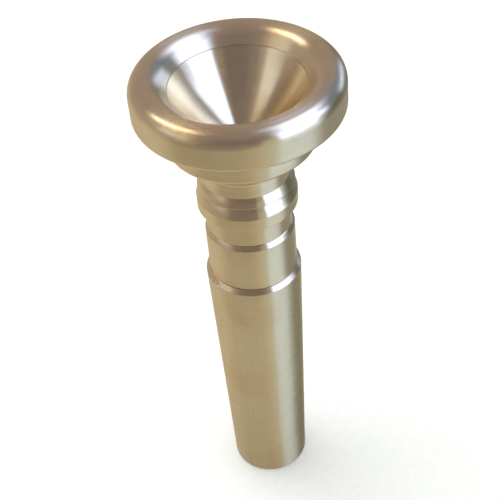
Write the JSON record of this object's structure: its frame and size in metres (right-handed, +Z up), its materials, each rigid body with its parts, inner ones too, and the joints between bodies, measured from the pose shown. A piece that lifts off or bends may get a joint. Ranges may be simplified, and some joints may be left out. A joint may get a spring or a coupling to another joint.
{
  "type": "brass instrument mouthpiece",
  "caption": "Take-apart brass cup mouthpiece: rounded screw-on rim, deep funnel cup with a beaded neck, backbore stem and a tapered slip-on shank sleeve that wedges into the instrument.",
  "frame": {"origin": "centre of the shank's small end, on the axis of the air passage", "axes": "+Z up the air passage, from the shank's small end to the rim; X and Y are equal, since every piece is turned about Z"},
  "size_m": [0.027, 0.027, 0.0724],
  "materials": {
    "shank_brass": "raw, satin, fine turning lines",
    "stem_brass": "raw, satin, fine turning lines",
    "cup_brass": "raw, semi-polished, turning lines in the cup",
    "rim_brass": "raw, semi-polished"
  },
  "bodies": {
    "sleeve": {"shank_sleeve": "shank_brass"},
    "stem": {"backbore_stem": "stem_brass"},
    "cup": {"cup_body": "cup_brass"},
    "rim": {"rim_ring": "rim_brass"}
  },
  "joints": [
    {"name": "stem_pull", "type": "slide", "parent": "sleeve", "child": "stem", "axis": [0, 0, 1], "range_m": [0, 0.048]},
    {"name": "cup_lift", "type": "slide", "parent": "stem", "child": "cup", "axis": [0, 0, 1], "range_m": [0, 0.014]},
    {"name": "rim_lift", "type": "slide", "parent": "cup", "child": "rim", "axis": [0, 0, 1], "range_m": [0, 0.012]}
  ]
}
